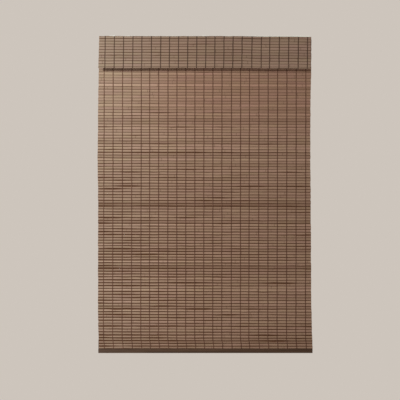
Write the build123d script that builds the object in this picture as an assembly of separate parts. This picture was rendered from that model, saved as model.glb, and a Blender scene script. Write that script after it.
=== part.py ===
from build123d import *
import math
import os

os.makedirs("parts", exist_ok=True)

# Bamboo roman blind, lowered, with a cordless spring lift in its headrail.
# Millimetres. +X is to the right seen from the front, +Y points from the front to
# the back, +Z is up. The origin is the centre of the middle bracket's top face,
# which is where the blind is screwed up, with y = 0 on the headrail's middle.

# ---- driving dimensions -------------------------------------------------
RAIL_WIDTH = 1097.0  # bottom rail
DROP = 1626.0  # mounting face to the rail's underside

PITCH = 14.54  # slat to slat, on the valance
GAP = 0.5  # between two slats
SLAT_T = 2.4  # slat thickness
YARN_T = 0.9  # thickness of a yarn line on one face
YARN_W = 4.0  # width of a pair of yarns
COLUMN_STEP = 46.8  # nominal distance between two lines of yarn

# The lines of yarn are not quite evenly spaced: where they run near the panel's
# top, near its foot, and on the valance.
COLUMNS_HIGH = [
    -518.9, -472.8, -424.6, -377.4, -328.7, -285.8, -239.6, -192.1,
    -146.4, -100.4, -54.3, -8.2, 38.1, 84.2, 133.1, 179.7, 225.4,
    273.5, 321.2, 369.3, 416.9, 464.6, 513.7,
]
COLUMNS_LOW = [
    -522.4, -475.5, -427.2, -378.7, -331.6, -286.7, -240.8, -193.5,
    -147.7, -101.3, -55.3, -9.2, 37.1, 83.2, 132.0, 178.9, 221.8,
    271.7, 319.1, 366.4, 415.1, 463.2, 512.4,
]
COLUMNS_VALANCE = [
    -513.2, -466.3, -419.1, -371.6, -325.7, -276.9, -229.6, -184.7,
    -138.6, -91.3, -45.4, 1.0, 46.9, 93.1, 139.4, 185.6, 236.1,
    283.8, 326.8, 375.4, 423.6, 472.8, 519.9,
]
HIGH_Z, LOW_Z = -330.0, -1360.0

# The panel hangs a few millimetres out of true: (height, middle, width).
HANG = [
    (-1626.0, 1.6, 1095.0),
    (-1594.0, 1.0, 1095.0),
    (-1563.0, 0.3, 1094.0),
    (-1461.0, -2.4, 1094.0),
    (-1358.0, -3.9, 1092.5),
    (-1154.0, -4.6, 1091.0),
    (-846.0, -4.9, 1089.0),
    (-641.0, -7.6, 1090.0),
    (-488.0, -6.2, 1088.0),
    (-334.0, -5.2, 1087.7),
    (-191.0, -2.6, 1088.7),
    (0.0, -1.0, 1088.0),
]
VALANCE_HANG = [(-169.8, -5.4, 1084.0), (-6.4, -1.3, 1078.5)]
HEM_STEP = 4.0  # the hem's lines of yarn step aside over its last slats

PANEL_BACK = -20.0  # back of the back yarns, which lie on the headrail's front
# The panel's slats are not all of one height: (slat, height of its top). The two
# halves of a fold are always equally long.
SLAT_TOPS = [
    (0, -5.6),
    (12, -174.4),
    (28, -410.2),
    (44, -642.2),
    (60, -874.3),
    (76, -1107.0),
    (92, -1342.2),
    (106, -1548.9),
    (110, -1605.0),
]
TOP_COUNT = 12  # slats that hang still behind the valance
FOLD_COUNTS = [(8, 8), (8, 8), (8, 8), (8, 8), (8, 8), (7, 7)]  # upper, lower
HEM_COUNT = 4

RAIL_TOP = -1605.0
BRACKET_T = 1.5  # bracket plate
HEADRAIL_Y = 20.0  # half of the channel's depth
HEADRAIL_TOP = -BRACKET_T
HEADRAIL_H = 36.0
HEADRAIL_L = 1066.0
HEADRAIL_T = 1.0
LIP = 7.0  # width of each lip at the channel's open top

BRACKET_X = [-480.0, 0.0, 480.0]
BRACKET_LEN = 30.0
SCREW_HOLE_R = 2.5
SCREW_SPACING = 20.0

CORD_X = [-425.9, -8.7, 416.0]  # on the third, the middle and the third last column
CORD_Y = -13.2
CORD_R = 0.7
DRUM_R = 8.95
WIND_R = 9.7  # to the middle of a cord wound on the drum
FLANGE_R = 12.0
SHAFT_Y = CORD_Y + WIND_R
SHAFT_Z = -21.0
SHAFT_AF = 5.0  # across the flats
SHAFT_X = 452.0
JOURNAL_R = 5.0
RUN = 0.05  # radial running clearance

MOTOR_X = -225.0
MOTOR_HALF = 20.0  # half the space between the motor's two end plates
STORE_Y = SHAFT_Y + 14.6
SPRING_HALF = 15.0

BATTEN_Y0, BATTEN_Y1 = -34.2, -24.2
TAPE_T = 2.0
VALANCE_TOP = -6.4
VALANCE_BOTTOM = -169.8
VALANCE_SEAMS = [-1.5 - PITCH * i for i in range(1, 12)]  # the first and last are cut

RING_R = 5.0  # middle of the wire
RING_WIRE_R = 1.0

# faces that follow from the ones above
SLAT_BACK = PANEL_BACK - YARN_T
SLAT_FRONT = SLAT_BACK - SLAT_T
PANEL_FRONT = SLAT_FRONT - YARN_T
FLOOR_TOP = HEADRAIL_TOP - HEADRAIL_H + HEADRAIL_T  # inside of the channel's floor


# ---- helpers ------------------------------------------------------------
def block(x0, x1, y0, y1, z0, z1):
    return Pos((x0 + x1) / 2, (y0 + y1) / 2, (z0 + z1) / 2) * Box(
        abs(x1 - x0), abs(y1 - y0), abs(z1 - z0)
    )


def prism(points, x0, x1):
    # points are (y, z) round the outline
    wire = Wire.make_polygon([Vector(x0, y, z) for y, z in points], close=True)
    return Solid.extrude(Face(wire), Vector(x1 - x0, 0, 0))


def rod_x(x0, x1, y, z, r):
    return Pos((x0 + x1) / 2, y, z) * Rot(0, 90, 0) * Cylinder(r, abs(x1 - x0))


def rod_y(x, y0, y1, z, r):
    return Pos(x, (y0 + y1) / 2, z) * Rot(90, 0, 0) * Cylinder(r, abs(y1 - y0))


def rod_z(x, y, z0, z1, r):
    return Pos(x, y, (z0 + z1) / 2) * Cylinder(r, abs(z1 - z0))


def hex_points(y, z, across):
    r = across / math.sqrt(3)
    return [
        (y + r * math.cos(math.radians(60 * i)), z + r * math.sin(math.radians(60 * i)))
        for i in range(6)
    ]


def solids_of(shape):
    return list(shape.solids())


def save(name, shapes):
    found = []
    for shape in shapes if isinstance(shapes, (list, tuple)) else [shapes]:
        found += solids_of(shape)
    whole = found[0] if len(found) == 1 else Compound(found)
    export_step(whole, "parts/%s.step" % name)


def hang(z, table):
    # middle and width at a height, on straight lines between the table's rows
    for (z0, m0, w0), (z1, m1, w1) in zip(table, table[1:]):
        if z <= z1 or (z1, m1, w1) == table[-1]:
            f = min(max((z - z0) / (z1 - z0), 0.0), 1.0)
            return m0 + (m1 - m0) * f, w0 + (w1 - w0) * f


def columns_at(z):
    f = min(max((HIGH_Z - z) / (HIGH_Z - LOW_Z), 0.0), 1.0)
    return [a + (b - a) * f for a, b in zip(COLUMNS_HIGH, COLUMNS_LOW)]


def slat(z0, height, back, table):
    # flat back, front face bevelled to a shallow groove on each long edge
    middle, width = hang(z0 - height / 2, table)
    t, b = z0 - GAP / 2, z0 - height + GAP / 2
    front = back - SLAT_T
    bevel = min(2.2, height / 4)
    return prism(
        [
            (back, t),
            (back, b),
            (back - 1.0, b),
            (front, b + bevel),
            (front, t - bevel),
            (back - 1.0, t),
        ],
        middle - width / 2,
        middle + width / 2,
    )


def yarns(z_top, z_bottom, back, columns):
    # a pair of flat lines of yarn, one on each face of the slats, at each column
    out = []
    for x in columns:
        for y1 in (back, back - YARN_T - SLAT_T):
            out.append(
                block(
                    x - YARN_W / 2,
                    x + YARN_W / 2,
                    y1 - YARN_T,
                    y1,
                    z_bottom + GAP / 2,
                    z_top - GAP / 2,
                )
            )
    return out


def slat_top(i):
    for (i0, z0), (i1, z1) in zip(SLAT_TOPS, SLAT_TOPS[1:]):
        if i <= i1:
            return z0 + (z1 - z0) * (i - i0) / (i1 - i0)


def panel_slat(i):
    return slat(slat_top(i), slat_top(i) - slat_top(i + 1), SLAT_BACK, HANG)


# ---- headrail -----------------------------------------------------------
y, top, t = HEADRAIL_Y, HEADRAIL_TOP, HEADRAIL_T
low = top - HEADRAIL_H
channel = prism(
    [
        (-y, top),
        (-y, low),
        (y, low),
        (y, top),
        (y - LIP, top),
        (y - LIP, top - t),
        (y - t, top - t),
        (y - t, low + t),
        (-y + t, low + t),
        (-y + t, top - t),
        (-y + LIP, top - t),
        (-y + LIP, top),
    ],
    -HEADRAIL_L / 2,
    HEADRAIL_L / 2,
)
for x in CORD_X:
    channel -= rod_z(x, CORD_Y, low - 1, low + t + 1, 3.0)

SCREW_X = [s * (n + 0.5) * COLUMN_STEP for s in (-1, 1) for n in (2, 6, 10)]
SCREW_Z = (slat_top(1) + slat_top(2)) / 2
SCREW_TIP = -15.0
for x in SCREW_X:
    channel -= rod_y(x, -y - 1, -y + t + 1, SCREW_Z, 1.8)
save("headrail", channel)

for name, s in (("end_cap_left", -1), ("end_cap_right", 1)):
    x0 = s * HEADRAIL_L / 2
    cap = block(x0, x0 + s * 3.0, -y, y, low, top)
    cap += block(x0 - s * 8.0, x0, -y + t + 0.1, y - t - 0.1, low + t + 0.1, top - t - 2.0)
    save(name, cap)

# brackets: a plate on the channel's top, with hooks under the two lips
for name, x in zip(("bracket_left", "bracket_centre", "bracket_right"), BRACKET_X):
    half = BRACKET_LEN / 2
    shape = block(x - half, x + half, -18.0, 18.0, -BRACKET_T, 0)
    under = top - t - 0.05
    for s in (-1, 1):
        inner = s * (y - LIP - 0.3 - BRACKET_T)
        outer = s * (y - LIP - 0.3)
        shape += block(x - half, x + half, inner, outer, under - BRACKET_T, -BRACKET_T)
        shape += block(x - half, x + half, inner, s * 17.0, under - BRACKET_T, under)
    for dx in (-SCREW_SPACING / 2, SCREW_SPACING / 2):
        shape -= rod_z(x + dx, 0, -BRACKET_T - 1, 1, SCREW_HOLE_R)
    save(name, shape)

# ---- lift shaft, drums and cradles --------------------------------------
save("lift_shaft", prism(hex_points(SHAFT_Y, SHAFT_Z, SHAFT_AF), -SHAFT_X, SHAFT_X))

CORE_HALF = 18.0
for name, x in zip(("drum_left", "drum_centre", "drum_right"), CORD_X):
    drum = rod_x(x - CORE_HALF, x + CORE_HALF, SHAFT_Y, SHAFT_Z, DRUM_R)
    for s in (-1, 1):
        drum += rod_x(x + s * CORE_HALF, x + s * (CORE_HALF + 1.5), SHAFT_Y, SHAFT_Z, FLANGE_R)
        drum += rod_x(
            x + s * (CORE_HALF + 1.5), x + s * (CORE_HALF + 5.5), SHAFT_Y, SHAFT_Z, JOURNAL_R
        )
    drum -= prism(hex_points(SHAFT_Y, SHAFT_Z, SHAFT_AF), x - 30, x + 30)
    save(name, drum)

cradles = []
for x in CORD_X:
    cradle = block(x - 23, x + 23, -18.5, 18.5, FLOOR_TOP, FLOOR_TOP + 1.5)
    cradle -= rod_z(x, CORD_Y, FLOOR_TOP - 1, FLOOR_TOP + 3, 2.2)
    for s in (-1, 1):
        wall = block(x + s * 21, x + s * 23, SHAFT_Y - 11, SHAFT_Y + 11, FLOOR_TOP, -14.0)
        wall -= rod_x(x + s * 20, x + s * 24, SHAFT_Y, SHAFT_Z, JOURNAL_R + RUN)
        # the seat is open above by less than the journal's width, so it snaps in
        wall -= block(x + s * 20, x + s * 24, SHAFT_Y - 4.6, SHAFT_Y + 4.6, SHAFT_Z, -10.0)
        cradle += wall
    cradles.append(cradle)
save("drum_cradles", cradles)

# two turns of cord stay on each drum when the blind is down
turns = []
for x in CORD_X:
    place = Plane(origin=(x, SHAFT_Y, SHAFT_Z), x_dir=(0, -1, 0), z_dir=(-1, 0, 0))
    helix = Edge.make_helix(1.55, 3.1, WIND_R)
    section = Plane(origin=helix @ 0, z_dir=helix % 0) * Circle(CORD_R)
    coil = sweep(section, path=helix, is_frenet=True)
    turns.append(place.location * coil)
save("cord_turns", turns)

# ---- spring motor -------------------------------------------------------
CORE_OUT, FLANGE_OUT = 4.5, 6.4
CORE_STORE, FLANGE_STORE = 4.0, 7.6
for name, s in (("motor_case_left", -1), ("motor_case_right", 1)):
    x0, x1 = MOTOR_X + s * MOTOR_HALF, MOTOR_X + s * (MOTOR_HALF + 2.5)
    case = block(x0, x1, -18.5, 18.5, FLOOR_TOP, -6.0)
    case += block(MOTOR_X, x0, -18.5, 18.5, FLOOR_TOP, FLOOR_TOP + 2.0)
    case -= rod_x(x0 - s, x1 + s, SHAFT_Y, SHAFT_Z, 4.0 + RUN)
    case -= rod_x(x0 - s, x1 + s, STORE_Y, SHAFT_Z, 2.5 + RUN)
    save(name, case)

inner, outer = MOTOR_HALF - 3.5, MOTOR_HALF - 2.0
drum = rod_x(MOTOR_X - inner, MOTOR_X + inner, SHAFT_Y, SHAFT_Z, CORE_OUT)
store = rod_x(MOTOR_X - inner, MOTOR_X + inner, STORE_Y, SHAFT_Z, CORE_STORE)
for s in (-1, 1):
    a, b = MOTOR_X + s * inner, MOTOR_X + s * outer
    drum += rod_x(a, b, SHAFT_Y, SHAFT_Z, FLANGE_OUT)
    store += rod_x(a, b, STORE_Y, SHAFT_Z, FLANGE_STORE)
    c = MOTOR_X + s * (MOTOR_HALF + 2.5)
    drum += rod_x(b, c, SHAFT_Y, SHAFT_Z, 4.0)
    store += rod_x(b, c, STORE_Y, SHAFT_Z, 2.5)
drum -= prism(hex_points(SHAFT_Y, SHAFT_Z, SHAFT_AF), MOTOR_X - 30, MOTOR_X + 30)
save("output_drum", drum)
save("storage_drum", store)


# the spring strip: a roll round each drum and the span that crosses between them
def tube(y, z, r_in, r_out):
    return rod_x(MOTOR_X - SPRING_HALF, MOTOR_X + SPRING_HALF, y, z, r_out) - rod_x(
        MOTOR_X - 40, MOTOR_X + 40, y, z, r_in
    )


R_STORE, R_OUT, STRIP = 6.9, 5.3, 0.3
across = STORE_Y - SHAFT_Y
lean = math.asin((R_STORE + R_OUT - STRIP) / across)
n = (math.sin(lean), math.cos(lean))  # (y, z) normal of the span, on the store's side
r1, r2 = R_STORE - STRIP / 2, R_OUT - STRIP / 2
p = (STORE_Y - r1 * n[0], SHAFT_Z + r1 * n[1])
q = (SHAFT_Y + r2 * n[0], SHAFT_Z - r2 * n[1])
d = math.hypot(p[0] - q[0], p[1] - q[1])
u = ((p[0] - q[0]) / d, (p[1] - q[1]) / d)
w = (-u[1] * STRIP / 2, u[0] * STRIP / 2)
span = prism(
    [
        (q[0] + w[0], q[1] + w[1]),
        (p[0] + w[0], p[1] + w[1]),
        (p[0] - w[0], p[1] - w[1]),
        (q[0] - w[0], q[1] - w[1]),
    ],
    MOTOR_X - SPRING_HALF,
    MOTOR_X + SPRING_HALF,
)
spring = tube(STORE_Y, SHAFT_Z, CORE_STORE + RUN, R_STORE) + tube(
    SHAFT_Y, SHAFT_Z, CORE_OUT + RUN, R_OUT
)
save("motor_spring", spring + span)

# ---- batten, screws, tape and valance -----------------------------------
batten = block(-530, 530, BATTEN_Y0, BATTEN_Y1, -35.0, -9.0)
batten = chamfer(batten.edges().filter_by(Axis.X), 0.8)
for x in SCREW_X:
    batten -= rod_y(x, BATTEN_Y0 - 1, BATTEN_Y1 + 1, SCREW_Z, 1.9)
    batten -= rod_y(x, BATTEN_Y0 - 1, BATTEN_Y0 + 2.4, SCREW_Z, 3.6)
save("head_batten", batten)
save(
    "batten_screws",
    [
        rod_y(x, BATTEN_Y0 + 0.1, BATTEN_Y0 + 2.3, SCREW_Z, 3.5)
        + rod_y(x, BATTEN_Y0 + 2.3, SCREW_TIP, SCREW_Z, 1.75)
        for x in SCREW_X
    ],
)
save("hook_loop_tape", block(-528, 528, BATTEN_Y0 - TAPE_T, BATTEN_Y0, -33.0, -11.0))

VALANCE_BACK = BATTEN_Y0 - TAPE_T
tops = [VALANCE_TOP] + VALANCE_SEAMS
save(
    "valance_slats",
    [
        slat(a, a - b, VALANCE_BACK - YARN_T, VALANCE_HANG)
        for a, b in zip(tops, VALANCE_SEAMS + [VALANCE_BOTTOM])
    ],
)
save(
    "valance_yarns",
    yarns(VALANCE_TOP, VALANCE_BOTTOM, VALANCE_BACK, [x + 0.5 for x in COLUMNS_VALANCE]),
)

# ---- panel --------------------------------------------------------------
pieces = []
for i in range(TOP_COUNT):
    piece = panel_slat(i)
    if i == 1:
        for x in SCREW_X:
            piece -= rod_y(x, PANEL_FRONT - 1, PANEL_BACK + 1, SCREW_Z, 1.9)
    pieces.append(piece)
save("top_slats", pieces)
save(
    "top_yarns",
    yarns(slat_top(0), slat_top(TOP_COUNT), PANEL_BACK, columns_at(slat_top(TOP_COUNT / 2))),
)

first = TOP_COUNT
ring_rows = []
for k, (upper, lower) in enumerate(FOLD_COUNTS, 1):
    for part, count in (("upper", upper), ("lower", lower)):
        save(
            "%s_%d_slats" % (part, k),
            [panel_slat(first + i) for i in range(count)],
        )
        save(
            "%s_%d_yarns" % (part, k),
            yarns(
                slat_top(first),
                slat_top(first + count),
                PANEL_BACK,
                columns_at(slat_top(first + count / 2)),
            ),
        )
        first += count
    ring_rows.append(slat_top(first))

# rings on the back at every second fold, each with the thread that ties it
for k, z in enumerate(ring_rows[:-1], 1):
    out = []
    for x in CORD_X:
        out.append(Pos(x, CORD_Y, z) * Torus(RING_R, RING_WIRE_R))
        wire_y = CORD_Y - RING_R
        tie = Pos(x, wire_y, z) * Rot(0, 90, 0) * Torus(RING_WIRE_R + 0.3, 0.25)
        tie += block(x - 0.2, x + 0.2, SLAT_FRONT + 0.3, wire_y - 1.3, z - 0.12, z + 0.12)
        out.append(tie)
    save("ring_row_%d" % k, out)

# ---- hem and bottom rail ------------------------------------------------
save("hem_slats", [panel_slat(first + i) for i in range(HEM_COUNT)])
step = slat_top(first + 1)
save(
    "hem_yarns",
    yarns(slat_top(first), step, PANEL_BACK, COLUMNS_LOW)
    + yarns(step, slat_top(first + HEM_COUNT), PANEL_BACK, [x + HEM_STEP for x in COLUMNS_LOW]),
)

TONGUE_TOP = -1560.0
RAIL_FRONT, RAIL_BACK = -26.0, -9.5
rail = prism(
    [
        (RAIL_FRONT + 1.5, -DROP),
        (RAIL_BACK - 1.5, -DROP),
        (RAIL_BACK, -DROP + 1.5),
        (RAIL_BACK, TONGUE_TOP - 1.5),
        (RAIL_BACK - 1.5, TONGUE_TOP),
        (PANEL_BACK, TONGUE_TOP),
        (PANEL_BACK, RAIL_TOP),
        (RAIL_FRONT + 1.0, RAIL_TOP),
        (RAIL_FRONT, RAIL_TOP - 1.0),
        (RAIL_FRONT, -DROP + 1.5),
    ],
    -RAIL_WIDTH / 2,
    RAIL_WIDTH / 2,
)
save("bottom_rail", rail)

ANCHOR_H, ANCHOR_DEPTH = 12.0, 7.0
anchors = []
for x in CORD_X:
    anchor = Pos(x, CORD_Y, TONGUE_TOP + ANCHOR_H / 2) * Cone(3.6, 2.6, ANCHOR_H)
    anchor -= rod_z(
        x,
        CORD_Y,
        TONGUE_TOP + ANCHOR_H - ANCHOR_DEPTH,
        TONGUE_TOP + ANCHOR_H + 1,
        CORD_R + RUN,
    )
    anchors.append(anchor)
save("cord_anchors", anchors)

# lift cords: from the front of each drum, through the rings, into the anchors
CORD_TOP = SHAFT_Z - 0.15
CORD_END = TONGUE_TOP + ANCHOR_H - ANCHOR_DEPTH + 0.2
save("lift_cords", [rod_z(x, CORD_Y, CORD_END, CORD_TOP, CORD_R) for x in CORD_X])
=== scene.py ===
import math

import bpy
import numpy as np
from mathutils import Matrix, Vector


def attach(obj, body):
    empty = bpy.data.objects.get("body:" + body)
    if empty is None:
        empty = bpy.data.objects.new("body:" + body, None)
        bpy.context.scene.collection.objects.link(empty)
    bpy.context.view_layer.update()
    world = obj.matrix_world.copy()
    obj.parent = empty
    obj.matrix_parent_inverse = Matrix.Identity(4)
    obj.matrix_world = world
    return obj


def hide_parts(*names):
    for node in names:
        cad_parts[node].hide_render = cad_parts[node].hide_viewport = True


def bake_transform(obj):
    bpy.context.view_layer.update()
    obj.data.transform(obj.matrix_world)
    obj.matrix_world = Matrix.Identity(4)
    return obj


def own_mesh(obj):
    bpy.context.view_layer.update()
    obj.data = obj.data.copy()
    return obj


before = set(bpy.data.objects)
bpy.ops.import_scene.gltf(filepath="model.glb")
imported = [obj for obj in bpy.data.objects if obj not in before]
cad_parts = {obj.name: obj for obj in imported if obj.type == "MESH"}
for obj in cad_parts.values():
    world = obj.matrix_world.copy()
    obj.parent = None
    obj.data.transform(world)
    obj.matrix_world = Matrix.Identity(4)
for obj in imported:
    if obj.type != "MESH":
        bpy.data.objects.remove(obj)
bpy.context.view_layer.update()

MM = 0.001

# ---- the blind's layout, in millimetres, as in the CAD ----------------------
PITCH = 14.54
# the panel's slats are not all of one height: (slat, height of its top)
SLAT_TOPS = [(0, -5.6), (12, -174.4), (28, -410.2), (44, -642.2), (60, -874.3),
             (76, -1107.0), (92, -1342.2), (106, -1548.9), (110, -1605.0)]
PANEL_BACK = -20.0
YARN_T = 0.9
SLAT_T = 2.4
SLAT_BACK = PANEL_BACK - YARN_T
TOP_COUNT = 12
FOLDS = [(8, 8)] * 5 + [(7, 7)]
HEM_COUNT = 4
VALANCE_TOP = -6.4
VALANCE_BOTTOM = -169.8
VALANCE_BACK = -36.2 - YARN_T
CORD_X = (-425.9, -8.7, 416.0)
CORD_Y = -13.2
CORD_R = 0.7
CORD_TOP = -21.15
CORD_END = -1554.8

# yarn columns: where they run near the top and near the foot of the panel, and
# on the valance. A weaver's columns are not quite evenly spaced.
COLS_HIGH = [-518.9, -472.8, -424.6, -377.4, -328.7, -285.8, -239.6, -192.1,
             -146.4, -100.4, -54.3, -8.2, 38.1, 84.2, 133.1, 179.7, 225.4,
             273.5, 321.2, 369.3, 416.9, 464.6, 513.7]
COLS_LOW = [-522.4, -475.5, -427.2, -378.7, -331.6, -286.7, -240.8, -193.5,
            -147.7, -101.3, -55.3, -9.2, 37.1, 83.2, 132.0, 178.9, 221.8,
            271.7, 319.1, 366.4, 415.1, 463.2, 512.4]
COLS_VALANCE = [-513.2, -466.3, -419.1, -371.6, -325.7, -276.9, -229.6, -184.7,
                -138.6, -91.3, -45.4, 1.0, 46.9, 93.1, 139.4, 185.6, 236.1,
                283.8, 326.8, 375.4, 423.6, 472.8, 519.9]

# the panel hangs a few millimetres out of true: (height, middle, width)
HANG = np.array([
    (-1626, 1.6, 1095), (-1594, 1.0, 1095), (-1563, 0.3, 1094), (-1461, -2.4, 1094),
    (-1358, -3.9, 1092.5), (-1154, -4.6, 1091), (-846, -4.9, 1089), (-641, -7.6, 1090),
    (-488, -6.2, 1088), (-334, -5.2, 1087.7), (-191, -2.6, 1088.7), (0, -1.0, 1088),
])


def sway(z):
    return np.interp(z, HANG[:, 0], HANG[:, 1])


def width(z):
    return np.interp(z, HANG[:, 0], HANG[:, 2])


def panel_sag(x, z):
    # the rows run a little down to the right, and level out at the rail
    return -0.0027 * x * np.interp(z, [-1605, -1560], [0.0, 1.0])


def valance_sag(x, z):
    return np.interp(x, [180, 285, 440, 535], [0.0, -2.1, -2.6, -4.2])


def columns(z):
    t = np.clip((-330 - z) / 1030.0, 0, 1)
    return np.array(COLS_HIGH) * (1 - t) + np.array(COLS_LOW) * t


# ---- mesh building ----------------------------------------------------------
class Build:
    """Collects rings of points into closed tubes with per-point values."""

    def __init__(self):
        self.v, self.quads, self.ends, self.n = [], [], [], 0
        self.values = {}
        self.ring_edges = []

    def tube(self, points, values, cap=True):
        # points: stations x profile x 3, in millimetres
        s, p = points.shape[:2]
        self.v.append(points.reshape(-1, 3))
        for k, a in values.items():
            self.values.setdefault(k, []).append(
                np.broadcast_to(a, (s, p)).reshape(-1)
            )
        i = np.arange(s - 1)[:, None] * p + np.arange(p)[None, :]
        j = np.arange(s - 1)[:, None] * p + (np.arange(p)[None, :] + 1) % p
        q = np.stack([i, j, j + p, i + p], -1).reshape(-1, 4) + self.n
        self.quads.append(q)
        if cap:
            self.ends.append([self.n + k for k in range(p)][::-1])
            self.ends.append([self.n + (s - 1) * p + k for k in range(p)])
        self.n += s * p

    def finish(self, name, material, sharp_ends=True):
        verts = np.concatenate(self.v) * MM
        quads = np.concatenate(self.quads)
        faces = quads.tolist() + self.ends
        mesh = bpy.data.meshes.new(name)
        mesh.from_pydata(verts.tolist(), [], faces)
        mesh.polygons.foreach_set("use_smooth", [True] * len(mesh.polygons))
        if sharp_ends and self.ends:
            ring = set()
            for e in self.ends:
                for a, b in zip(e, e[1:] + e[:1]):
                    ring.add((min(a, b), max(a, b)))
            keys = np.empty(len(mesh.edges) * 2, np.int64)
            mesh.edges.foreach_get("vertices", keys)
            keys = keys.reshape(-1, 2)
            sharp = [
                (int(min(a, b)), int(max(a, b))) in ring for a, b in keys
            ]
            mesh.edges.foreach_set("use_edge_sharp", sharp)
        for k, parts in self.values.items():
            a = mesh.attributes.new(k, "FLOAT", "POINT")
            a.data.foreach_set("value", np.concatenate(parts).astype(np.float32))
        mesh.materials.append(material)
        mesh.update()
        mesh.validate()
        o = bpy.data.objects.new(name, mesh)
        bpy.context.collection.objects.link(o)
        fix_normals(o)
        return o


def fix_normals(o):
    # outward normals: the first tube's volume says whether the faces are inside out
    import bmesh

    bm = bmesh.new()
    bm.from_mesh(o.data)
    if bm.calc_volume(signed=True) < 0:
        bmesh.ops.reverse_faces(bm, faces=bm.faces)
        bm.to_mesh(o.data)
    bm.free()


# ---- slats ------------------------------------------------------------------
# one edge of a slat's section: (depth from its back, distance in from its edge)
EDGE = [(0.0, 1.25), (0.3, 0.5), (0.85, -0.12), (1.35, 0.5), (1.95, 1.0), (2.3, 1.9)]
# each section point's share of the dark edge colour: partly real stain, partly painted shade in the grooves between
# slats
EDGE_STAIN_AND_SHADE = [0.55, 0.9, 1.0, 1.0, 0.78, 0.30]
STATIONS = 3  # per bay between two yarn columns


def bays(cols, half_left, half_right):
    marks = np.concatenate([[half_left], cols, [half_right]])
    xs, bay, t = [], [], []
    for b in range(len(marks) - 1):
        for k in range(STATIONS):
            xs.append(marks[b] + (marks[b + 1] - marks[b]) * k / STATIONS)
            bay.append(b)
            t.append(k / STATIONS)
    xs.append(marks[-1])
    bay.append(len(marks) - 2)
    t.append(1.0)
    return np.array(xs), np.array(bay), np.array(t)


def slat_group(name, tops, back, rng, material, shape, tones, sag, groove, hold=(True, True)):
    """A run of slats. tops lists their edges' heights from the first top to the last
    bottom. shape(z) gives the middle, the width and the yarn columns at a height, and
    groove(z) how wide the grooves between the slats are."""
    build = Build()
    count = len(tops) - 1
    n_bays = 24
    bow = rng.normal(0, 0.38, (count + 1, n_bays)).clip(-0.8, 0.8)
    slow = rng.normal(0, 0.22, (count + 1, 9)).clip(-0.45, 0.45)
    # how open each groove is: much the same along it, with a wide gap now and then
    knots = np.linspace(-560, 560, 29)
    gap = rng.normal(0, 1, (count + 1, 31))
    gap = 0.75 * (0.5 * gap[:, 1:-1] + 0.3 * gap[:, :-2] + 0.3 * gap[:, 2:]) / 0.66 + rng.normal(0, 0.6, (count + 1, 1))
    gap = 1 + 0.19 * gap + 0.55 * (gap - 1.15).clip(0, 1.6)
    for e, fixed in ((0, hold[0]), (count, hold[1])):
        if fixed:
            bow[e] = 0
            slow[e] = 0
    for i in range(count):
        z_top, z_bottom = tops[i], tops[i + 1]
        mid = (z_top + z_bottom) / 2
        centre, wide, cols = shape(mid)
        ragged = rng.normal(0, 0.5, 2).clip(-0.9, 0.9)
        xs, bay, t = bays(cols, centre - wide / 2 + ragged[0], centre + wide / 2 + ragged[1])
        lift = np.sin(np.pi * t)
        u = (xs + 560) / 1120 * 8

        def edge(j, z):
            return (
                z + bow[j][bay] * lift + np.interp(u, np.arange(9), slow[j]) + sag(xs, z)
            )

        zt, zb = edge(i, z_top), edge(i + 1, z_bottom)
        g = np.interp(xs, knots, gap[i]) + 0.06 * np.interp(u, np.arange(9), rng.normal(0, 1, 9))
        h = np.interp(xs, knots, gap[i + 1]) + 0.06 * np.interp(u, np.arange(9), rng.normal(0, 1, 9))
        side = 1.25 - 0.58 * (xs + 560) / 1120
        # the lines are finer at the upper left corner
        side = side * (1 - 0.26 * np.interp(xs, [-500, -390], [1, 0]) * np.interp(mid, [-560, -420], [0, 1]))
        g = (g.clip(0.55, 2.2) * groove(z_top) * side).clip(0.2, 3.0)
        h = (h.clip(0.55, 2.2) * groove(z_bottom) * side).clip(0.2, 3.0)
        crown = 0.05 * np.interp(u, np.arange(9), rng.normal(0, 1, 9)).clip(-1, 1)
        high = z_top - z_bottom
        squeeze = min(1.0, high / 11.0)
        # dark: each point's share of the edge stain and the painted groove shade
        section, dark = [], []
        for (d, e), k in zip(EDGE, EDGE_STAIN_AND_SHADE):
            e = e * squeeze
            inset = e if e < 0.1 else e * (g if d > 1 else 1)
            section.append((d + (crown if d > 1.6 else 0), zt - inset))
            dark.append(k)
        section.append((SLAT_T - 0.02 + crown, (zt + zb) / 2 + 0 * zt))
        dark.append(0.0)
        for (d, e), k in list(zip(EDGE, EDGE_STAIN_AND_SHADE))[::-1]:
            e = e * squeeze
            inset = e if e < 0.1 else e * (h if d > 1 else 1)
            section.append((d + (crown if d > 1.6 else 0), zb + inset))
            dark.append(k)
        for z in (zb + min(3.0, high / 3), zt - min(3.0, high / 3)):
            section.append((0.0, z))
            dark.append(0.05)
        p = len(section)
        pts = np.empty((len(xs), p, 3))
        for k, (d, z) in enumerate(section):
            pts[:, k, 0] = xs
            pts[:, k, 1] = back - d
            pts[:, k, 2] = z
        build.tube(
            pts,
            {
                "edge": np.array(dark)[None, :],
                "tone": np.full((1, 1), tones[i]),
                "seed": np.full((1, 1), rng.random()),
            },
        )
    return build.finish(name, material)


# ---- yarns ------------------------------------------------------------------
# heights along one slat, as a share of the pitch, and how proud the yarn stands
ALONG = np.array([0.0, 0.10, 0.24, 0.5, 0.76, 0.90])
PROUD = np.array([0.0, 0.62, 0.96, 1.0, 0.96, 0.62])
SHRINK = np.array([0.80, 0.92, 1.0, 1.0, 1.0, 0.92])


def strand(path, half, thick, lobes):
    """A flat pair of yarns along path (n x 3), with its face towards -Y or +Y."""
    if lobes == 2:
        around = [(-1, 0.0), (-0.82, 0.75), (-0.45, 1.0), (0, 0.55), (0.45, 1.0),
                  (0.82, 0.75), (1, 0.0), (0, -0.6)]
    else:
        around = [(-1, 0.0), (-0.5, 0.9), (0.5, 0.9), (1, 0.0), (0, -0.5)]
    pts = np.empty((len(path), len(around), 3))
    for k, (a, b) in enumerate(around):
        pts[:, k, 0] = path[:, 0] + a * half
        pts[:, k, 1] = path[:, 1] + b * thick
        pts[:, k, 2] = path[:, 2]
    return pts


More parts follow.
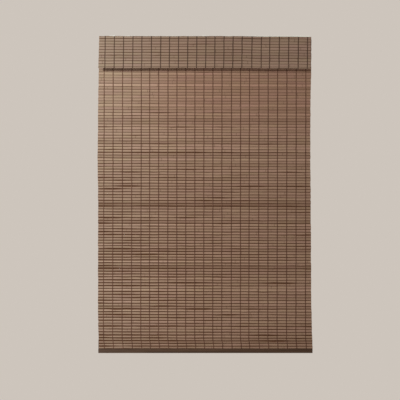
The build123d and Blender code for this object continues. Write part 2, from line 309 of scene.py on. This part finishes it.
FRONT_HIGH = SLAT_T + 0.30  # yarn's middle over the slat, from the slat's back
FRONT_LOW = 1.55  # and down in the groove
BACK_HIGH = -0.32
BACK_LOW = 0.15


def yarn_runs(tops, back, rng, shape, sag, ends):
    """For each column and face, the path of the yarn over a run of slats."""
    count = len(tops) - 1
    mids = [(tops[i] + tops[i + 1]) / 2 for i in range(count)]
    cols_by = [shape(z)[2] for z in tops]
    for c in range(len(cols_by[0])):
        wander = rng.normal(0, 0.35, count + 1)
        for face in ("front", "back"):
            zs, ys, xs, wide, groove_shade = [], [], [], [], []
            for i in range(count):
                high = tops[i] - tops[i + 1]
                for a, p, s in zip(ALONG, PROUD, SHRINK):
                    zs.append(tops[i] - a * high)
                    f = a
                    xs.append(
                        (cols_by[i][c] + wander[i]) * (1 - f)
                        + (cols_by[i + 1][c] + wander[i + 1]) * f
                    )
                    if face == "front":
                        ys.append(back - (FRONT_LOW + (FRONT_HIGH - FRONT_LOW) * p))
                    else:
                        ys.append(back - (BACK_LOW + (BACK_HIGH - BACK_LOW) * p))
                    wide.append(s)
                    # how far the yarn dips into the groove, which later paints it darker as shade
                    groove_shade.append(1 - p)
            zs.append(tops[-1])
            xs.append(cols_by[-1][c] + wander[-1])
            ys.append(back - (FRONT_LOW if face == "front" else BACK_LOW))
            wide.append(SHRINK[0])
            groove_shade.append(1.0)
            # keep clear of the fold line at a held end: the bridge runs there
            xs, zs = np.array(xs), np.array(zs)
            path = np.array([xs, ys, zs + sag(xs, zs)]).T
            wide, groove_shade = np.array(wide), np.array(groove_shade)
            first = 1 if ends[0] else 0
            last = len(path) - 1 if ends[1] else len(path)
            yield c, face, path[first:last], wide[first:last], groove_shade[first:last]


def yarn_group(name, tops, back, rng, material, shape, sag, ends=(True, True), half=2.2):
    build = Build()
    for c, face, path, wide, groove_shade in yarn_runs(tops, back, rng, shape, sag, ends):
        w = half * wide * (1 + rng.normal(0, 0.04))
        if face == "front":
            pts = strand(path, w, -0.42, 2)
        else:
            pts = strand(path, w, 0.36, 1)
        build.tube(
            pts,
            {
                "groove_shade": groove_shade[:, None],
                "seed": np.full((1, 1), rng.random()),
                "twist": np.full((1, 1), 1.0 if c % 2 else -1.0),
            },
        )
    return build.finish(name, material)


def bridge_group(name, z, rng, material, shape, half=2.2):
    """The short lengths of yarn that cross a fold line between two groups."""
    build = Build()
    cols = shape(z)[2]
    a = ALONG[1] * PITCH
    for c, x in enumerate(cols):
        for face in ("front", "back"):
            lo, hi = (FRONT_LOW, FRONT_HIGH) if face == "front" else (BACK_LOW, BACK_HIGH)
            path, w = [], []
            for f in (-3.2, -1.6, -0.7, -0.3, 0.3, 0.7, 1.6, 3.2):
                p = np.interp(abs(f) * ALONG[1], ALONG, PROUD)
                path.append((x, SLAT_BACK - (lo + (hi - lo) * p), z - f * a))
                w.append(np.interp(abs(f), [0, 1.25, 3.2], [SHRINK[0], 0.93, 0.88]) * half * 0.96)
            path, w = np.array(path), np.array(w)
            pts = strand(path, w, -0.38 if face == "front" else 0.32, 2 if face == "front" else 1)
            build.tube(
                pts,
                {
                    "groove_shade": np.full((1, 1), 0.7),
                    "seed": np.full((1, 1), rng.random()),
                    "twist": np.full((1, 1), 1.0 if c % 2 else -1.0),
                },
            )
    return build.finish(name, material)


# ---- node helpers -----------------------------------------------------------
class Nodes:
    def __init__(self, name):
        self.mat = bpy.data.materials.new(name)
        self.mat.use_nodes = True
        self.t = self.mat.node_tree
        self.t.nodes.clear()
        self.out = self.t.nodes.new("ShaderNodeOutputMaterial")
        self.bsdf = self.t.nodes.new("ShaderNodeBsdfPrincipled")
        self.t.links.new(self.bsdf.outputs[0], self.out.inputs[0])

    def new(self, kind, **props):
        n = self.t.nodes.new(kind)
        for k, v in props.items():
            setattr(n, k, v)
        return n

    def link(self, a, b):
        self.t.links.new(a, b)

    def put(self, socket, value):
        if isinstance(value, bpy.types.NodeSocket):
            self.link(value, socket)
        else:
            socket.default_value = value

    def math(self, op, a, b=0.0, c=0.0, clamp=False):
        n = self.new("ShaderNodeMath", operation=op, use_clamp=clamp)
        self.put(n.inputs[0], a)
        self.put(n.inputs[1], b)
        self.put(n.inputs[2], c)
        return n.outputs[0]

    def vmul(self, v, xyz, add=None):
        n = self.new("ShaderNodeVectorMath", operation="MULTIPLY")
        self.put(n.inputs[0], v)
        n.inputs[1].default_value = xyz
        if add is None:
            return n.outputs[0]
        m = self.new("ShaderNodeVectorMath", operation="ADD")
        self.link(n.outputs[0], m.inputs[0])
        self.put(m.inputs[1], add)
        return m.outputs[0]

    def xyz(self, x=0.0, y=0.0, z=0.0):
        n = self.new("ShaderNodeCombineXYZ")
        for s, v in zip(n.inputs, (x, y, z)):
            self.put(s, v)
        return n.outputs[0]

    def split(self, v):
        n = self.new("ShaderNodeSeparateXYZ")
        self.link(v, n.inputs[0])
        return n.outputs

    def place(self):
        return self.new("ShaderNodeTexCoord").outputs["Object"]

    def attr(self, name):
        return self.new("ShaderNodeAttribute", attribute_name=name).outputs["Fac"]

    def noise(self, v, scale=1.0, detail=4.0, rough=0.55, distort=0.0):
        n = self.new("ShaderNodeTexNoise")
        self.link(v, n.inputs["Vector"])
        n.inputs["Scale"].default_value = scale
        n.inputs["Detail"].default_value = detail
        n.inputs["Roughness"].default_value = rough
        n.inputs["Distortion"].default_value = distort
        return n.outputs["Fac"]

    def ramp(self, fac, stops):
        n = self.new("ShaderNodeValToRGB")
        e = n.color_ramp.elements
        while len(e) > 1:
            e.remove(e[-1])
        e[0].position, e[0].color = stops[0][0], (*stops[0][1], 1)
        for pos, col in stops[1:]:
            x = e.new(pos)
            x.color = (*col, 1)
        self.link(fac, n.inputs[0])
        return n.outputs["Color"]

    def mix(self, fac, a, b, mode="MIX"):
        n = self.new("ShaderNodeMix", data_type="RGBA", blend_type=mode)
        self.put(n.inputs[0], fac)
        for s, v in ((n.inputs[6], a), (n.inputs[7], b)):
            if isinstance(v, bpy.types.NodeSocket):
                self.link(v, s)
            else:
                s.default_value = (*v, 1)
        return n.outputs[2]

    def range(self, v, a, b, c=0.0, d=1.0, smooth=False):
        n = self.new("ShaderNodeMapRange", clamp=True)
        if smooth:
            n.interpolation_type = "SMOOTHSTEP"
        self.put(n.inputs[0], v)
        for s, x in zip(n.inputs[1:5], (a, b, c, d)):
            s.default_value = x
        return n.outputs[0]

    def bump(self, height, distance, strength=1.0, normal=None):
        n = self.new("ShaderNodeBump")
        n.inputs["Strength"].default_value = strength
        n.inputs["Distance"].default_value = distance
        self.link(height, n.inputs["Height"])
        if normal is not None:
            self.link(normal, n.inputs["Normal"])
        return n.outputs["Normal"]

    def finish(self, color, rough, normal=None, metallic=0.0, specular=0.5, sheen=0.0, coat=0.0):
        b = self.bsdf.inputs
        self.put(b["Base Color"], color if isinstance(color, bpy.types.NodeSocket) else (*color, 1))
        self.put(b["Roughness"], rough)
        b["Metallic"].default_value = metallic
        b["Specular IOR Level"].default_value = specular
        b["Sheen Weight"].default_value = sheen
        b["Coat Weight"].default_value = coat
        if normal is not None:
            self.link(normal, b["Normal"])
        return self.mat


# ---- materials --------------------------------------------------------------
def bamboo(name, light, mid, dark, stain_and_groove_shade, blush=0.9, right_light_tint=(1.0, 1.0, 1.0)):
    m = Nodes(name)
    at, seed, tone, edge = m.place(), m.attr("seed"), m.attr("tone"), m.attr("edge")
    off = m.xyz(m.math("MULTIPLY", seed, 37.0), m.math("MULTIPLY", seed, 11.0), m.math("MULTIPLY", seed, 5.0))
    fibre = m.noise(m.vmul(at, (7.0, 60.0, 1500.0), off), 1.0, 5.0, 0.62)
    streak = m.noise(m.vmul(at, (2.2, 30.0, 260.0), off), 1.0, 4.0, 0.55, 0.4)
    patch = m.noise(m.vmul(at, (5.0, 5.0, 30.0), off), 1.0, 3.0, 0.5)
    x = m.split(at)[0]
    # joints of the cane: a faint ring every 0.3 to 0.4 m, at its own place on each slat
    where = m.math("FRACT", m.math("ADD", m.math("MULTIPLY", x, 2.7), m.math("MULTIPLY", seed, 17.3)))
    knot = m.range(m.math("ABSOLUTE", m.math("SUBTRACT", where, 0.5)), 0.0, 0.007, 1.0, 0.0, True)
    halo = m.range(m.math("ABSOLUTE", m.math("SUBTRACT", where, 0.5)), 0.0, 0.03, 1.0, 0.0, True)
    f = m.math("ADD", m.math("MULTIPLY", tone, 0.55), m.math("MULTIPLY", streak, 0.35))
    f = m.math("ADD", f, m.math("MULTIPLY", patch, 0.28))
    f = m.math("SUBTRACT", f, 0.09)
    f = m.math("ADD", f, m.math("MULTIPLY", m.math("SUBTRACT", fibre, 0.5), 0.50))
    col = m.ramp(f, [(0.12, dark), (0.45, mid), (0.85, light)])
    # some lengths of cane are golden, others pinkish
    hue = m.noise(m.vmul(at, (6.5, 3.0, 26.0), m.xyz(m.math("MULTIPLY", seed, 3.1), 0.0, m.math("MULTIPLY", seed, 1.7))), 1.0, 2.0, 0.5)
    tint = m.mix(m.range(hue, 0.30, 0.70, 0.0, 1.0), (0.983, 1.014, 0.955), (1.020, 0.980, 1.030))
    col = m.mix(1.0, col, tint, "MULTIPLY")
    # the weave is painted paler and cooler down its left side, a painted tint of the cool light from the left, and it
    # is redder near the top
    place = m.split(at)
    across, up = m.range(place[0], -0.56, -0.02, 0.0, 1.0, True), m.range(place[2], -0.62, -0.30, 0.0, 1.0, True)
    left_light_tint = m.mix(across, (0.955, 1.005, 1.035), (1.005, 1.0, 1.01))
    col = m.mix(1.0, col, left_light_tint, "MULTIPLY")
    # painted light: the valance is painted lighter and cooler towards its right end
    col = m.mix(1.0, col, m.mix(m.range(place[0], -0.05, 0.50, 0.0, 1.0, True), (1.0, 1.0, 1.0), right_light_tint), "MULTIPLY")
    col = m.mix(m.math("MULTIPLY", m.math("MULTIPLY", across, up), blush), col, m.mix(1.0, col, (0.965, 0.89, 0.885), "MULTIPLY"))
    col = m.mix(m.math("MULTIPLY", halo, 0.18), col, tuple(0.75 * c for c in mid), "MIX")
    col = m.mix(m.math("MULTIPLY", knot, 0.5), col, dark, "MIX")
    # the long edges are stained dark, unevenly; the same dark also paints the shade in the grooves between the slats,
    # so it is partly real stain and partly painted shade
    wear = m.noise(m.vmul(at, (14.0, 200.0, 400.0), off), 1.0, 3.0, 0.6)
    stain_and_shade_mask = m.range(m.math("ADD", edge, m.math("MULTIPLY", m.math("SUBTRACT", wear, 0.5), 0.5)), 0.15, 0.85, 0.0, 0.97, True)
    col = m.mix(stain_and_shade_mask, col, stain_and_groove_shade)
    # painted shade: the deepest part of each groove between slats is darkened further
    col = m.mix(m.range(edge, 0.88, 1.0, 0.0, 0.5), col, tuple(0.4 * c for c in stain_and_groove_shade))
    height = m.math("ADD", m.math("MULTIPLY", fibre, 0.7), m.math("MULTIPLY", streak, 0.6))
    height = m.math("ADD", height, m.math("MULTIPLY", knot, 1.6))
    normal = m.bump(height, 0.00035, 0.55)
    rough = m.range(streak, 0.3, 0.7, 0.46, 0.62)
    return m.finish(col, rough, normal, specular=0.09)


def yarn_material(name, light, dark):
    m = Nodes(name)
    at, seed, groove_shade, twist = m.place(), m.attr("seed"), m.attr("groove_shade"), m.attr("twist")
    x, y, z = m.split(at)
    # plies: slanting ridges along the yarn
    slant = m.math("ADD", m.math("MULTIPLY", z, 2300.0), m.math("MULTIPLY", m.math("MULTIPLY", x, twist), 1500.0))
    ply = m.math("SINE", slant)
    fuzz = m.noise(m.vmul(at, (1600.0, 900.0, 900.0)), 1.0, 4.0, 0.65)
    tone = m.noise(m.vmul(at, (30.0, 30.0, 45.0)), 1.0, 3.0, 0.55)
    f = m.math("ADD", m.math("MULTIPLY", ply, 0.16), m.math("ADD", m.math("MULTIPLY", tone, 0.7), m.math("MULTIPLY", fuzz, 0.35)))
    # painted shade: the yarn is darker where it dips down into the grooves between slats
    f = m.math("SUBTRACT", f, m.math("MULTIPLY", groove_shade, 0.45))
    col = m.ramp(f, [(0.05, dark), (0.85, light)])
    normal = m.bump(m.math("ADD", ply, m.math("MULTIPLY", fuzz, 1.3)), 0.00025, 0.7)
    return m.finish(col, 0.86, normal, specular=0.07)


def wood(name, light, mid, dark, grain=1.0, rough=(0.35, 0.5), coat=0.0):
    m = Nodes(name)
    at = m.place()
    ring = m.noise(m.vmul(at, (1.3 * grain, 45.0, 85.0)), 1.0, 5.0, 0.6, 1.2)
    pore = m.noise(m.vmul(at, (16.0 * grain, 900.0, 900.0)), 1.0, 3.0, 0.6)
    patch = m.noise(m.vmul(at, (4.0, 12.0, 20.0)), 1.0, 2.0, 0.5)
    f = m.math("ADD", m.math("MULTIPLY", ring, 0.65), m.math("MULTIPLY", patch, 0.35))
    f = m.math("ADD", f, m.math("MULTIPLY", m.math("SUBTRACT", pore, 0.5), 0.5))
    col = m.ramp(f, [(0.25, dark), (0.5, mid), (0.78, light)])
    normal = m.bump(m.math("ADD", m.math("MULTIPLY", pore, 0.8), m.math("MULTIPLY", ring, 0.6)), 0.0003, 0.4)
    return m.finish(col, m.range(pore, 0.3, 0.7, *rough), normal, specular=0.15, coat=coat)


def paint(name, base, shade, rough=(0.3, 0.42)):
    m = Nodes(name)
    at = m.place()
    peel = m.noise(at, 900.0, 3.0, 0.5)
    dust = m.noise(m.vmul(at, (8.0, 40.0, 40.0)), 1.0, 4.0, 0.6)
    col = m.mix(m.range(dust, 0.35, 0.75, 0.0, 0.45), base, shade)
    return m.finish(col, m.range(dust, 0.3, 0.7, *rough), m.bump(peel, 0.00006, 0.5), specular=0.5)


def plastic(name, base, shade, rough=(0.42, 0.58), fine=1500.0):
    m = Nodes(name)
    at = m.place()
    grainy = m.noise(at, fine, 3.0, 0.6)
    cloud = m.noise(at, 60.0, 3.0, 0.55)
    col = m.mix(m.range(cloud, 0.3, 0.75, 0.0, 0.5), base, shade)
    return m.finish(col, m.range(grainy, 0.3, 0.7, *rough), m.bump(grainy, 0.00008, 0.45), specular=0.45)


def steel(name, base, shade, along=(6.0, 900.0, 900.0)):
    m = Nodes(name)
    at = m.place()
    brush = m.noise(m.vmul(at, along), 1.0, 4.0, 0.6)
    spots = m.noise(at, 120.0, 4.0, 0.6)
    col = m.mix(m.range(spots, 0.4, 0.8, 0.0, 0.5), base, shade)
    return m.finish(col, m.range(brush, 0.3, 0.7, 0.25, 0.42), m.bump(brush, 0.00005, 0.5), metallic=1.0)


def braid(name, light, dark):
    m = Nodes(name)
    at = m.place()
    x, y, z = m.split(at)
    a = m.math("SINE", m.math("ADD", m.math("MULTIPLY", z, 2600.0), m.math("MULTIPLY", x, 4200.0)))
    b = m.math("SINE", m.math("SUBTRACT", m.math("MULTIPLY", z, 2600.0), m.math("MULTIPLY", x, 4200.0)))
    w = m.math("MULTIPLY", a, b)
    fuzz = m.noise(at, 3000.0, 3.0, 0.6)
    col = m.ramp(m.math("ADD", m.math("MULTIPLY", w, 0.3), fuzz), [(0.2, dark), (0.8, light)])
    return m.finish(col, 0.8, m.bump(m.math("ADD", w, fuzz), 0.0002, 0.6), specular=0.25, sheen=0.1)


def fleece(name, light, dark):
    m = Nodes(name)
    at = m.place()
    loops = m.noise(at, 1400.0, 4.0, 0.7)
    rows = m.math("SINE", m.math("MULTIPLY", m.split(at)[2], 3100.0))
    f = m.math("ADD", m.math("MULTIPLY", loops, 0.8), m.math("MULTIPLY", rows, 0.1))
    col = m.ramp(f, [(0.25, dark), (0.7, light)])
    return m.finish(col, 0.9, m.bump(f, 0.0006, 0.8), specular=0.15, sheen=0.2)


LIGHT, MID, DARK = (0.279, 0.169, 0.1175), (0.193, 0.1127, 0.0765), (0.109, 0.0553, 0.0341)
# the dark edge colour: a real stain, also used as painted shade in the grooves between slats
STAIN_AND_GROOVE_SHADE = (0.0610, 0.0205, 0.0070)
M_BAMBOO = bamboo("bamboo", LIGHT, MID, DARK, STAIN_AND_GROOVE_SHADE)
# the last tint paints the valance lighter towards its right end, as painted light
M_VALANCE = bamboo("bamboo_valance", (0.223, 0.139, 0.099), (0.164, 0.099, 0.0695), (0.091, 0.0512, 0.0332), STAIN_AND_GROOVE_SHADE, 0.0, (1.09, 1.12, 1.14))
M_YARN = yarn_material("yarn", (0.130, 0.061, 0.039), (0.039, 0.0155, 0.0092))
M_VALANCE_YARN = yarn_material("yarn_valance", (0.090, 0.050, 0.0345), (0.027, 0.0137, 0.0088))
M_RAIL = wood("rail_wood", (0.064, 0.032, 0.0184), (0.046, 0.0220, 0.0123), (0.024, 0.0112, 0.0062))
M_BATTEN = wood("batten_wood", (0.55, 0.38, 0.23), (0.45, 0.29, 0.17), (0.32, 0.19, 0.10), 1.0, (0.55, 0.7))
M_HEADRAIL = paint("headrail_paint", (0.70, 0.67, 0.61), (0.62, 0.59, 0.53))
M_CAP = plastic("cap_plastic", (0.68, 0.65, 0.59), (0.60, 0.57, 0.51))
M_BRACKET = paint("bracket_paint", (0.66, 0.64, 0.60), (0.52, 0.50, 0.47))
M_STEEL = steel("shaft_steel", (0.56, 0.56, 0.57), (0.40, 0.39, 0.38))
M_MECH = plastic("mechanism_plastic", (0.72, 0.71, 0.68), (0.63, 0.62, 0.58))
M_DRUM = plastic("drum_plastic", (0.58, 0.60, 0.62), (0.50, 0.52, 0.54), (0.3, 0.45))
M_RING = plastic("ring_plastic", (0.62, 0.52, 0.38), (0.50, 0.41, 0.29), (0.22, 0.35))
M_CORD = braid("lift_cord", (0.30, 0.20, 0.13), (0.12, 0.075, 0.05))
M_TAPE = fleece("tape", (0.62, 0.60, 0.56), (0.35, 0.34, 0.31))

for nodes, material in (
    (("headrail",), M_HEADRAIL),
    (("end_cap_left", "end_cap_right"), M_CAP),
    (("bracket_left", "bracket_centre", "bracket_right"), M_BRACKET),
    (("drum_cradles", "motor_case_left", "motor_case_right"), M_MECH),
    (("lift_shaft", "motor_spring", "batten_screws"), M_STEEL),
    (("drum_left", "drum_centre", "drum_right", "output_drum", "storage_drum", "cord_anchors"), M_DRUM),
    (("cord_turns",), M_CORD),
    (("head_batten",), M_BATTEN),
    (("hook_loop_tape",), M_TAPE),
    (("bottom_rail",), M_RAIL),
    (tuple("ring_row_%d" % k for k in range(1, 6)), M_RING),
):
    for n in nodes:
        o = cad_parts[n]
        o.data.materials.clear()
        o.data.materials.append(material)


# ---- the woven pieces -------------------------------------------------------
def panel_shape(z):
    return sway(z), width(z), columns(z) * 1.0


def hem_shape(z):
    # the hem was woven on: its columns step aside over its last slats
    return sway(z), width(z), columns(z) + float(np.interp(z, [-1588, -1572, -1560], [4.6, 3.2, 0.0]))


def valance_shape(z):
    t = (VALANCE_TOP - z) / (VALANCE_TOP - VALANCE_BOTTOM)
    return -1.3 - 4.1 * t, 1078.5 + 5.5 * t, np.array(COLS_VALANCE) + 1.5 - 2.0 * t


def tone_for(rng, z):
    # a darker slat here and there, and the hem darker than the rest
    base = 0.5 + rng.normal(0, 0.14)
    for dark_z, amount in ((-600, 0.12), (-857, 0.20), (-871, 0.14), (-1051, 0.12)):
        if abs(z - dark_z) < PITCH / 2:
            base -= amount
    if z < -1546:
        base -= 0.22
    return float(np.clip(base, 0.05, 0.95))


def fold_line(i):
    return float(np.interp(i, *zip(*SLAT_TOPS)))


# the slats' own small differences in height, as a shift of their tops by height
UNEVEN = np.array([
    (-1605, 0.0), (-1549, -0.5), (-1487, 0.6), (-1426, 0.7), (-1364, -0.5), (-1303, 1.0),
    (-1241, 1.9), (-1180, 1.2), (-1118, 0.3), (-1057, -0.8), (-934, -0.8), (-873, -0.4),
    (-811, 0.3), (-750, 1.1), (-688, 0.5), (-627, -0.3), (-565, -0.4), (-504, 0.0),
    (-442, -0.7), (-391, -0.6), (-340, 0.6), (-278, 0.7), (-180, 0.0), (0, 0.0),
])


def top_of(i):
    z = fold_line(i)
    return z + float(np.interp(z, UNEVEN[:, 0], UNEVEN[:, 1]))


def panel_groove(z):
    # the weave hangs closer at the top and more open lower down
    g = float(np.interp(z, [-1150, -700, -190], [1.72, 1.18, 0.42]))
    for open_z, more in ((-258, 0.35), (-524, 0.35), (-598, 0.9), (-725, 0.3), (-842, 0.35), (-873, 0.35)):
        if abs(z - open_z) < PITCH / 2:
            g += more
    return g


def valance_groove(z):
    return float(np.interp(z, [-158, -140], [0.6, 0.9]))


def weave(name, body, first, count, shape, seed, hold=(True, True), ends=(True, True)):
    tops = [top_of(first + i) for i in range(count + 1)]
    rng = np.random.default_rng(seed)
    tones = [tone_for(rng, (tops[i] + tops[i + 1]) / 2) for i in range(count)]
    s = slat_group(name + "_bamboo", tops, SLAT_BACK, rng, M_BAMBOO, shape, tones, panel_sag, panel_groove, hold)
    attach(s, body)
    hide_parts(name + "_slats")
    y = yarn_group(name + "_weave", tops, SLAT_BACK, rng, M_YARN, shape, panel_sag, ends)
    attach(y, body)
    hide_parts(name + "_yarns")
    return s, y


first = 0
weave("top", "head", first, TOP_COUNT, panel_shape, 11, (False, True), (False, True))
first += TOP_COUNT
lines = []
previous = "head"
for k, (upper, lower) in enumerate(FOLDS, 1):
    for part, count in (("upper", upper), ("lower", lower)):
        body = "%s_%d" % (part, k)
        lines.append((previous, body, fold_line(first)))
        weave(body, body, first, count, panel_shape, 100 + first)
        first += count
        previous = body
lines.append((previous, "bottom", fold_line(first)))
weave("hem", "bottom", first, HEM_COUNT, hem_shape, 900, (True, False), (True, False))

rng = np.random.default_rng(77)
for n, (a, b, z) in enumerate(lines, 1):
    o = bridge_group("fold_yarns_%d" % n, z, rng, M_YARN, panel_shape)
    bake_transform(o)

# the valance: ten whole slats, and one cut narrower at its top and at its foot
tops = [-1.5 - PITCH * i for i in range(1, 12)]
tops = [VALANCE_TOP + 0.9] + [z - float(np.interp(z, [-125, -10], [0, 1.9])) for z in tops] + [VALANCE_BOTTOM + 1.5]
rng = np.random.default_rng(5)
tones = [float(np.clip(0.5 + rng.normal(0, 0.09), 0.1, 0.9)) for _ in range(12)]
tones[10] = tones[11] = 0.62
s = slat_group("valance_bamboo", tops, VALANCE_BACK, rng, M_VALANCE, valance_shape, tones, valance_sag, valance_groove, (False, False))
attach(s, "head")
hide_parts("valance_slats")
y = yarn_group("valance_weave", tops, VALANCE_BACK, rng, M_VALANCE_YARN, valance_shape, valance_sag, (False, False), 2.3)
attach(y, "head")
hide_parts("valance_yarns")


# ---- lift cords -------------------------------------------------------------
def cords():
    build = Build()
    n, sides = 60, 10
    zs = np.linspace(CORD_TOP, CORD_END, n)
    ang = np.arange(sides) / sides * 2 * np.pi
    for x in CORD_X:
        pts = np.empty((n, sides, 3))
        pts[:, :, 0] = x + CORD_R * np.cos(ang)[None, :]
        pts[:, :, 1] = CORD_Y + CORD_R * np.sin(ang)[None, :]
        pts[:, :, 2] = zs[:, None]
        build.tube(pts, {})
    return build.finish("lift_cord_lines", M_CORD)


c = cords()
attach(c, "head")
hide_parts("lift_cords")
h = fold_line(12) - fold_line(106)
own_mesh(c)

# ---- floor, light and camera ------------------------------------------------
m = Nodes("floor")
m.finish(
    m.mix(m.noise(m.place(), 3.0, 3.0, 0.5), (0.60, 0.595, 0.575), (0.565, 0.56, 0.54)), 0.8,
    m.bump(m.noise(m.place(), 60.0, 3.0, 0.5), 0.0004, 0.3), specular=0.2,
)
bpy.ops.mesh.primitive_plane_add(size=5.0, location=(0, 0, -2.53))
floor = bpy.context.object
floor.name = "floor"
floor.data.materials.append(m.mat)

world = bpy.data.worlds.new("world")
bpy.context.scene.world = world
world.use_nodes = True
bg = world.node_tree.nodes["Background"]
bg.inputs[0].default_value = (0.85, 0.775, 0.70, 1)
bg.inputs[1].default_value = 0.72


def area(name, at, to, size, power, color=(1, 1, 1)):
    data = bpy.data.lights.new(name, "AREA")
    data.shape = "RECTANGLE"
    data.size, data.size_y = size
    data.energy = power
    data.color = color
    o = bpy.data.objects.new(name, data)
    o.visible_camera = False
    bpy.context.collection.objects.link(o)
    o.location = at
    o.rotation_euler = (Vector(to) - Vector(at)).to_track_quat("-Z", "Y").to_euler()
    return o


area("key", (-2.0, -0.95, 0.64), (0.0, 0, -0.8), (0.3, 0.3), 128, (0.85, 1.0, 1.01))
area("low", (-1.4, -1.2, -1.9), (0.0, 0, -0.8), (0.5, 0.5), 27, (0.85, 1.0, 1.02))
area("back", (1.9, 2.6, 1.5), (0.0, 0, -0.8), (1.2, 1.2), 60, (1.0, 0.97, 0.92))

cam = bpy.data.cameras.new("camera")
cam.lens = 75
cam.sensor_width = 36
cam_o = bpy.data.objects.new("camera", cam)
bpy.context.collection.objects.link(cam_o)
cam_o.location = (-0.0277, -4.292, -0.8422)
cam_o.rotation_euler = (math.radians(90), 0, 0)
bpy.context.scene.camera = cam_o
bpy.context.scene.view_settings.view_transform = "Standard"
# no single bright pixels from the small key light
bpy.context.scene.cycles.sample_clamp_direct = 3.0
bpy.context.scene.cycles.sample_clamp_indirect = 1.5
